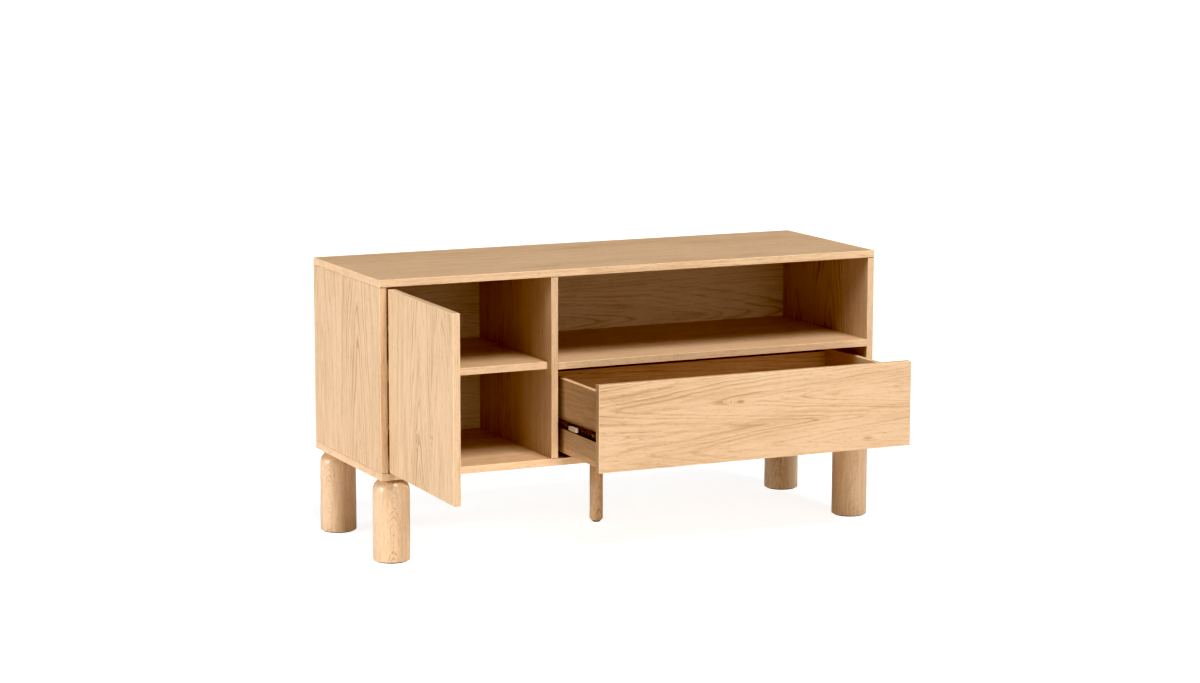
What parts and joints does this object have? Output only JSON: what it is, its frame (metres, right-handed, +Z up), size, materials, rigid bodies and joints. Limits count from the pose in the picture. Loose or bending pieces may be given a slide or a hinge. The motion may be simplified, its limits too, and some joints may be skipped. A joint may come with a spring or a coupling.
{
  "type": "television stand with door and drawer",
  "caption": "Low oak television stand with an open media bay, a wide drawer below it, a hinged door with a shelf behind, thick turned legs and a slim middle support leg.",
  "frame": {"origin": "on the floor at the centre of the carcase footprint, under the foot of the support leg", "axes": "+X to the right along the width, +Y to the back, the front faces -Y, +Z up"},
  "size_m": [1.208, 0.7932, 0.614],
  "materials": {
    "oak": "satin lacquered oak veneer and solid oak",
    "beech": "plain beech dowel",
    "drawer_board": "oak foil on board",
    "zinc_steel": "zinc plated",
    "slide_steel": "black zinc",
    "nickel": "nickel plated",
    "latch_plastic": "grey moulded",
    "bumper_plastic": "off-white moulded",
    "glide_plastic": "dark felt-faced plastic"
  },
  "bodies": {
    "cabinet": {"top_panel": "oak", "bottom_panel": "oak", "left_side_panel": "oak", "right_side_panel": "oak", "centre_divider": "oak", "media_shelf": "oak", "cabinet_shelf": "oak", "back_panel": "oak", "leg_front_left": "oak", "leg_front_right": "oak", "leg_back_left": "oak", "leg_back_right": "oak", "support_leg": "oak", "carcase_dowels": "beech", "leg_glides": "glide_plastic", "leg_bolts": "zinc_steel", "leg_inserts": "zinc_steel", "carcase_screws": "zinc_steel", "shelf_pins": "nickel", "hinge_plate_screws": "nickel", "latch_screws": "nickel", "push_latch_housing": "latch_plastic", "slide_wall_screws": "zinc_steel", "upper_hinge_arm": "nickel", "upper_hinge_plate": "nickel", "lower_hinge_arm": "nickel", "lower_hinge_plate": "nickel", "left_slide_outer_rail": "slide_steel", "right_slide_outer_rail": "slide_steel"},
    "door": {"door_panel": "oak", "upper_hinge_cup": "nickel", "lower_hinge_cup": "nickel", "hinge_cup_screws": "nickel", "latch_strike_plate": "nickel"},
    "hinge_links": {"upper_hinge_link": "nickel", "lower_hinge_link": "nickel"},
    "drawer": {"drawer_front": "oak", "drawer_left_side": "drawer_board", "drawer_right_side": "drawer_board", "drawer_back": "drawer_board", "drawer_bottom": "drawer_board", "drawer_dowels": "beech", "drawer_bottom_screws": "zinc_steel", "left_slide_inner_rail": "slide_steel", "right_slide_inner_rail": "slide_steel", "slide_drawer_screws": "zinc_steel"},
    "slide_middles": {"left_slide_middle_rail": "slide_steel", "left_slide_ball_cages": "zinc_steel", "left_slide_bumper": "bumper_plastic", "right_slide_middle_rail": "slide_steel", "right_slide_ball_cages": "zinc_steel", "right_slide_bumper": "bumper_plastic"},
    "latch_plunger": {"push_latch_plunger": "latch_plastic"}
  },
  "joints": [
    {"name": "door_hinge", "type": "hinge", "parent": "cabinet", "child": "door", "pos_m": [-0.5865, -0.2075, 0], "axis": [0, 0, -1], "range_deg": [-91, 0]},
    {"name": "hinge_link_swing", "type": "hinge", "parent": "cabinet", "child": "hinge_links", "pos_m": [-0.56, -0.191, 0], "axis": [0, 0, -1], "range_deg": [-154.29, 0]},
    {"name": "drawer_slide", "type": "slide", "parent": "cabinet", "child": "drawer", "axis": [0, -1, 0], "range_m": [-0.203, 0.147]},
    {"name": "slide_middles_slide", "type": "slide", "parent": "cabinet", "child": "slide_middles", "axis": [0, -1, 0], "range_m": [-0.1015, 0.0735]},
    {"name": "latch_plunger_press", "type": "slide", "parent": "cabinet", "child": "latch_plunger", "axis": [0, 1, 0], "range_m": [0, 0.004], "stiffness_N_per_m": 300}
  ],
  "couplings": [
    {"joint": "hinge_link_swing", "follows": "door_hinge", "ratio": 1.69},
    {"joint": "slide_middles_slide", "follows": "drawer_slide", "ratio": 0.5}
  ]
}
